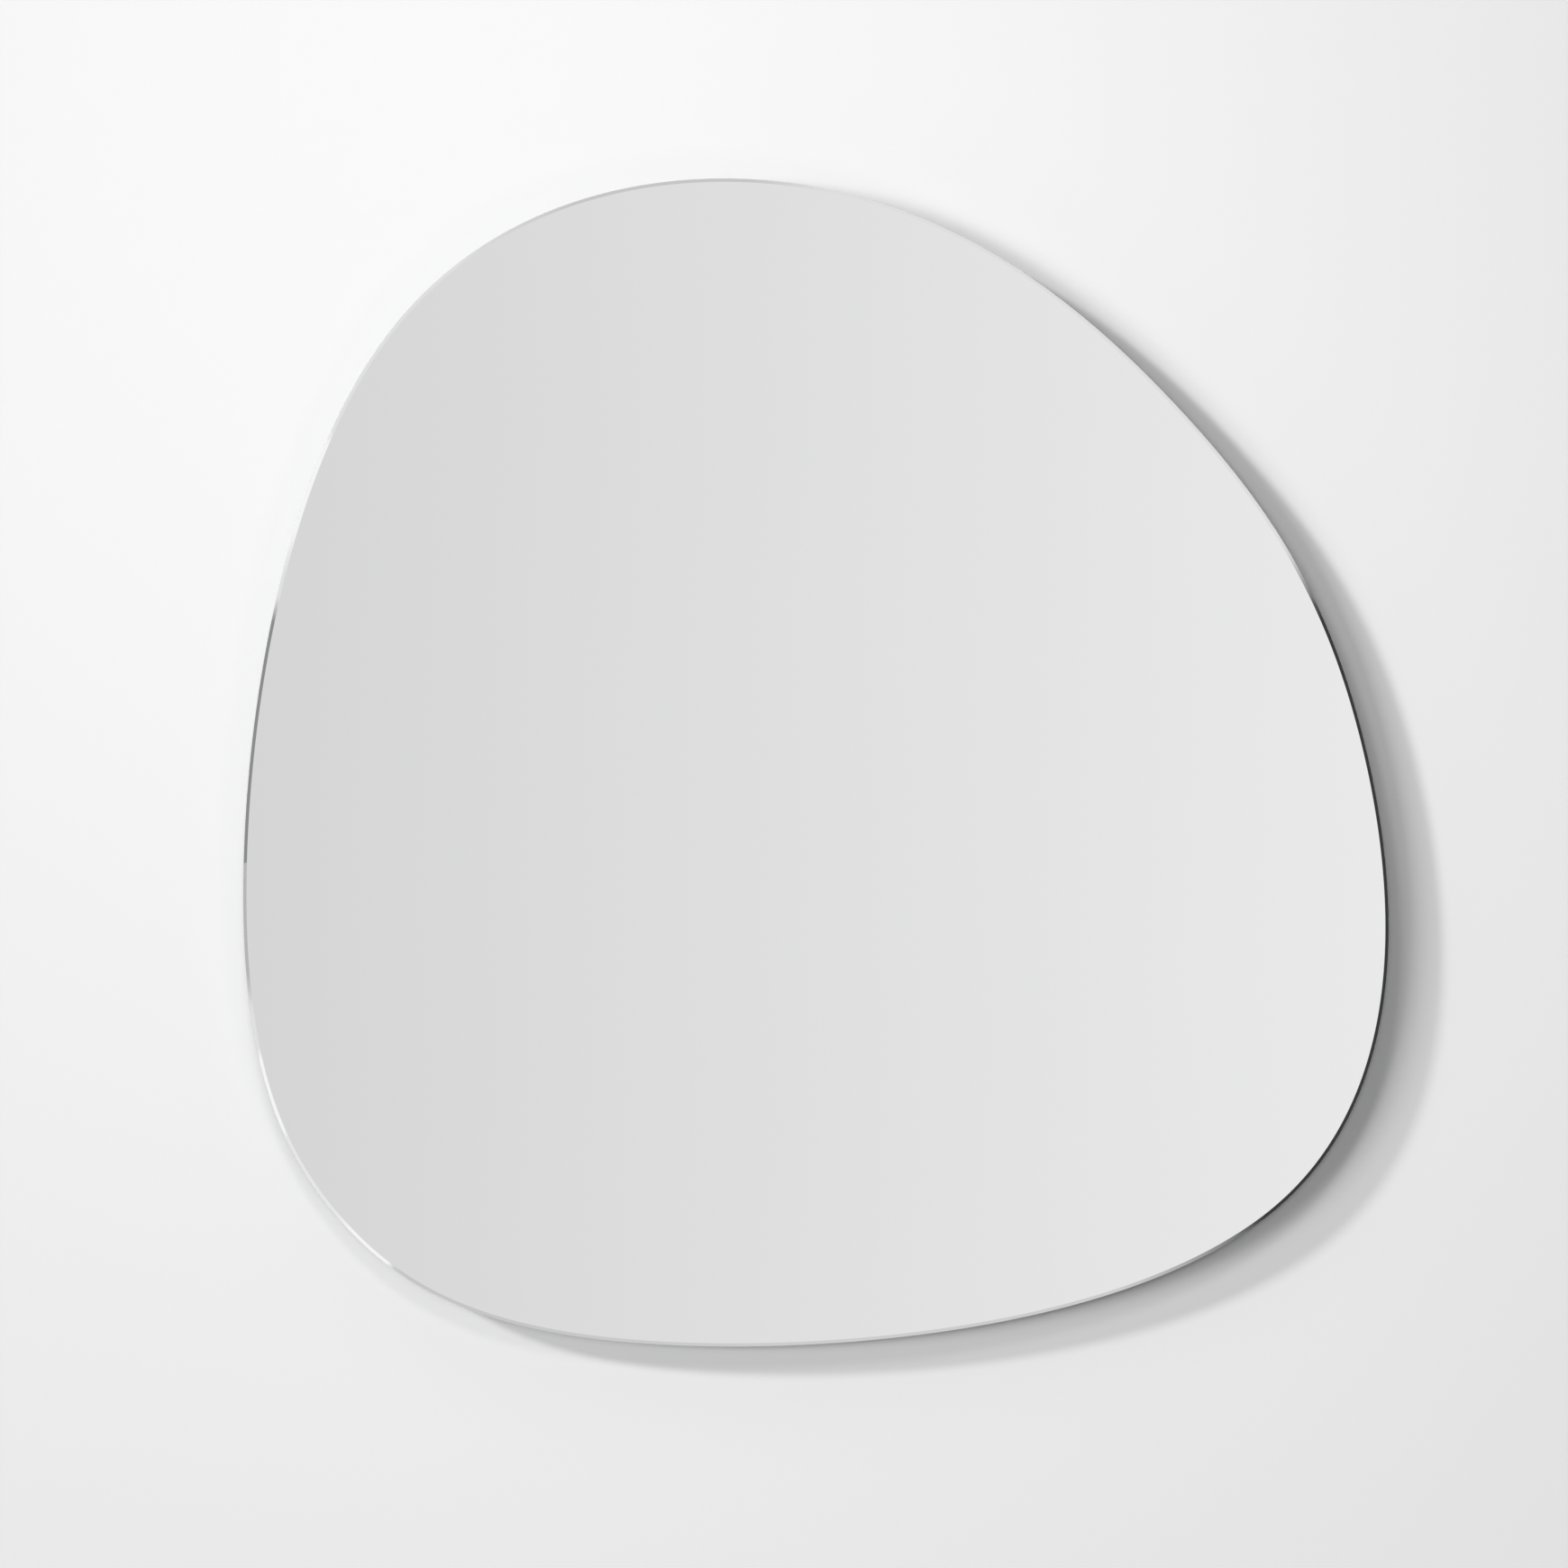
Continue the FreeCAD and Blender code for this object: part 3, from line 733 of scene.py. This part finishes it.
def knob(side, material):
    """A wheel with flutes round its rim and rounded edges, on the stud's collar."""
    node = f"knob_{side}"
    low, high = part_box(node)
    rim = (high.z - low.z) / 2
    stud_low, stud_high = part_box(f"stud_{side}")
    bore = (stud_high.x - stud_low.x) / 2 + RUNNING_PLAY
    shoulder = rim - KNOB_EDGE
    profile = [(bore, high.y - BORE_EDGE), (bore + BORE_EDGE, high.y)]
    profile += arc(shoulder, high.y - KNOB_EDGE, KNOB_EDGE, 90, 0)
    profile += arc(shoulder, low.y + KNOB_EDGE, KNOB_EDGE, 0, -90)
    profile += [(bore + BORE_EDGE, low.y), (bore, low.y + BORE_EDGE)]

    def fluted(reach, y, share):
        """The rim's reach, less where a flute is cut into it."""
        angle = 2 * math.pi * ((share * FLUTES + 0.5) % 1 - 0.5) / FLUTES
        across = rim * math.sin(angle)
        if reach < shoulder - WELD or abs(across) >= FLUTE_RADIUS:
            return reach
        return reach - rim + rim * math.cos(angle) - math.sqrt(FLUTE_RADIUS ** 2 - across ** 2)

    turned(node, f"{node}_fluted", profile, material, FLUTES * SIDES_PER_FLUTE, fluted, hollow=True)


def foot(side, material):
    """The rubber foot with rounded edges and a blind seat for the stud's spigot."""
    node = f"pad_{side}"
    low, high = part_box(node)
    rim = (high.x - low.x) / 2
    seat = SPIGOT_RADIUS + RUNNING_PLAY
    profile = [(seat, high.y - SEAT_FLOOR), (seat, low.y + BORE_EDGE), (seat + BORE_EDGE, low.y)]
    profile += arc(rim - FOOT_EDGE, low.y + FOOT_EDGE, FOOT_EDGE, -90, 0)
    profile += arc(rim - FOOT_WALL_EDGE, high.y - FOOT_WALL_EDGE, FOOT_WALL_EDGE, 0, 90)
    turned(node, f"{node}_foot", profile, material)


def hardware():
    """Everything behind the glass, piece by piece, each with its own finish."""
    sheet("silver_coat", backing_paint())
    sheet("safety_film", scrim_film())
    rounded("mounting_tapes", foam_tape())
    rounded("adhesive_beads", cured_adhesive())
    rounded("backing_board", dyed_fibreboard())
    aluminium = extruded_aluminium()
    rounded("hook_rail", aluminium)
    rounded("wall_rail", aluminium)
    zinc = zinc_plate()
    rounded("hook_rail_screws", zinc)
    plastic = moulded_plastic()
    rubber = matt_rubber()
    for side in ("left", "right"):
        low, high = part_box(f"insert_{side}")
        rounded(f"insert_{side}", turned_brass((low + high) / 2))
        stud(side, zinc)
        knob(side, plastic)
        foot(side, rubber)


def wall():
    """A pale wall seen from the room only, open behind the board to let light reach the mirror's back."""
    mesh = bmesh.new()
    hole = outline_ring(mesh, WALL_OPENING_INSET, WALL_GAP)
    spots = ((WALL_HALF, FLOOR_Z), (WALL_HALF, WALL_TOP), (-WALL_HALF, WALL_TOP), (-WALL_HALF, FLOOR_Z))
    corners = [mesh.verts.new((x, WALL_GAP, z)) for x, z in spots]
    edges = []
    for loop in (hole, corners):
        for i, vert in enumerate(loop):
            edges.append(mesh.edges.new((vert, loop[(i + 1) % len(loop)])))
    bmesh.ops.triangle_fill(mesh, edges=edges, use_beauty=True, use_dissolve=False)
    paint = Paint("wall_paint", Roughness=0.9, Specular_IOR_Level=0.1)
    paint.set("Base Color", paint.tint(paint.noise(scale=1.2, detail=2.0), *map(grey, WALL_GREYS)))
    mix = paint.node("ShaderNodeMixShader")
    share, front, back = mix.inputs
    paint.feed(share, paint.node("ShaderNodeNewGeometry").outputs["Backfacing"])
    paint.feed(front, paint.shader.outputs["BSDF"])
    paint.feed(back, paint.node("ShaderNodeBsdfTransparent").outputs["BSDF"])
    paint.feed(paint.output.inputs["Surface"], mix.outputs["Shader"])
    made = new_object("wall", mesh, [paint.material])
    if made.data.polygons[0].normal.y > 0:
        made.data.flip_normals()


def floor():
    """A wide quarter disc from the wall's left end, kept out of reflections and out of the wall's light."""
    mesh = bmesh.new()
    spots = []
    for step in range(FLOOR_SIDES + 1):
        angle = math.pi / 2 * step / FLOOR_SIDES
        spots.append((FLOOR_REACH * math.cos(angle) - WALL_HALF, -FLOOR_REACH * math.sin(angle)))
    spots.append((-WALL_HALF, 0))
    mesh.faces.new([mesh.verts.new((x, y, FLOOR_Z)) for x, y in spots])
    paint = Paint("floor_paint", Roughness=0.85, Specular_IOR_Level=0.1)
    paint.set("Base Color", paint.tint(paint.noise(scale=2.0), *map(grey, FLOOR_GREYS)))
    made = new_object("floor", mesh, [paint.material])
    made.visible_glossy = False
    made.visible_diffuse = False


def studio_world():
    """Light by direction: a soft gradient ahead, cards round the side, and plain grey elsewhere."""
    world = bpy.data.worlds.new("studio")
    bpy.context.scene.world = world
    world.use_nodes = True
    sky = Nodes(world.node_tree)
    direction = sky.node("ShaderNodeTexCoord").outputs["Generated"]
    parts = sky.node("ShaderNodeSeparateXYZ")
    sky.feed(parts.inputs["Vector"], direction)
    across, depth, height = (parts.outputs[axis] for axis in "XYZ")
    ahead = sky.math("MULTIPLY", depth, -1.0)

    def inside(edge):
        """1 within a soft edge round straight ahead, 0 beyond it."""
        narrow, wide = (math.cos(math.radians(angle)) for angle in edge)
        return sky.spread(ahead, start=wide, end=narrow, smooth=True)

    face = sky.math("MULTIPLY_ADD", across, FACE_SLOPE, FACE_LEVEL)
    turn = sky.math("MULTIPLY_ADD", sky.math("ARCTAN2", height, across), 1 / (2 * math.pi), 0.5)
    stops = []
    for start, end, light in CARDS:
        for clock in (start, end):
            stops.append((clock / 360 + 0.5, grey(light)))
    cards = sky.ramp(turn, stops)
    ring = sky.math("SUBTRACT", inside(RING_OUTER), inside(RING_INNER))

    # The plain room shows to the camera and in reflections, and leaves matt surfaces to the lamps
    path = sky.node("ShaderNodeLightPath")
    shown = sky.math("MAXIMUM", path.outputs["Is Camera Ray"], path.outputs["Is Glossy Ray"])
    lean = sky.vector_math("DOT_PRODUCT", direction, ROOM_LEAN)
    room = sky.math("MULTIPLY", shown, sky.math("ADD", lean, ROOM_LEVEL))
    behind, before = WALL_PLANE
    in_front = sky.spread(ahead, start=behind, end=before, smooth=True)
    level = sky.mix(in_front, grey(BEHIND_LEVEL), room)
    level = sky.mix(ring, level, cards)
    level = sky.mix(inside(FACE_EDGE), level, face)
    sky.feed(sky.tree.nodes["Background"].inputs["Color"], level)


def lamp(name, reach, off, clock, power, width, height=None):
    """A studio lamp aimed at the pane's middle, hidden from the camera and from reflections."""
    tilt = math.radians(off)
    turn = math.radians(clock)
    ray = Vector((math.sin(tilt) * math.cos(turn), -math.cos(tilt), math.sin(tilt) * math.sin(turn)))
    data = bpy.data.lights.new(name, "AREA")
    data.shape = "RECTANGLE" if height else "DISK"
    data.size = width
    if height:
        data.size_y = height
    data.energy = power
    made = bpy.data.objects.new(name, data)
    made.location = Vector((0, 0, -PANE_DROP)) + ray * reach
    made.rotation_mode = "QUATERNION"
    made.rotation_quaternion = (-ray).to_track_quat("-Z", "Y")
    made.visible_camera = False
    made.visible_glossy = False
    bpy.context.scene.collection.objects.link(made)


def camera():
    """The photograph's view: level, square to the wall, and as far off as the frame's width asks."""
    data = bpy.data.cameras.new("camera")
    data.lens = LENS
    data.sensor_width = SENSOR
    made = bpy.data.objects.new("camera", data)
    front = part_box("mirror_glass")[0].y
    made.location = (CAMERA_X, front - FRAME_WIDTH * LENS / SENSOR, CAMERA_Z)
    made.rotation_euler = (math.pi / 2, 0, 0)
    bpy.context.scene.collection.objects.link(made)
    bpy.context.scene.camera = made


bpy.context.scene.view_settings.view_transform = "Standard"
camera()
pane()
hardware()
wall()
floor()
studio_world()
for name, settings in LAMPS.items():
    lamp(name, **settings)
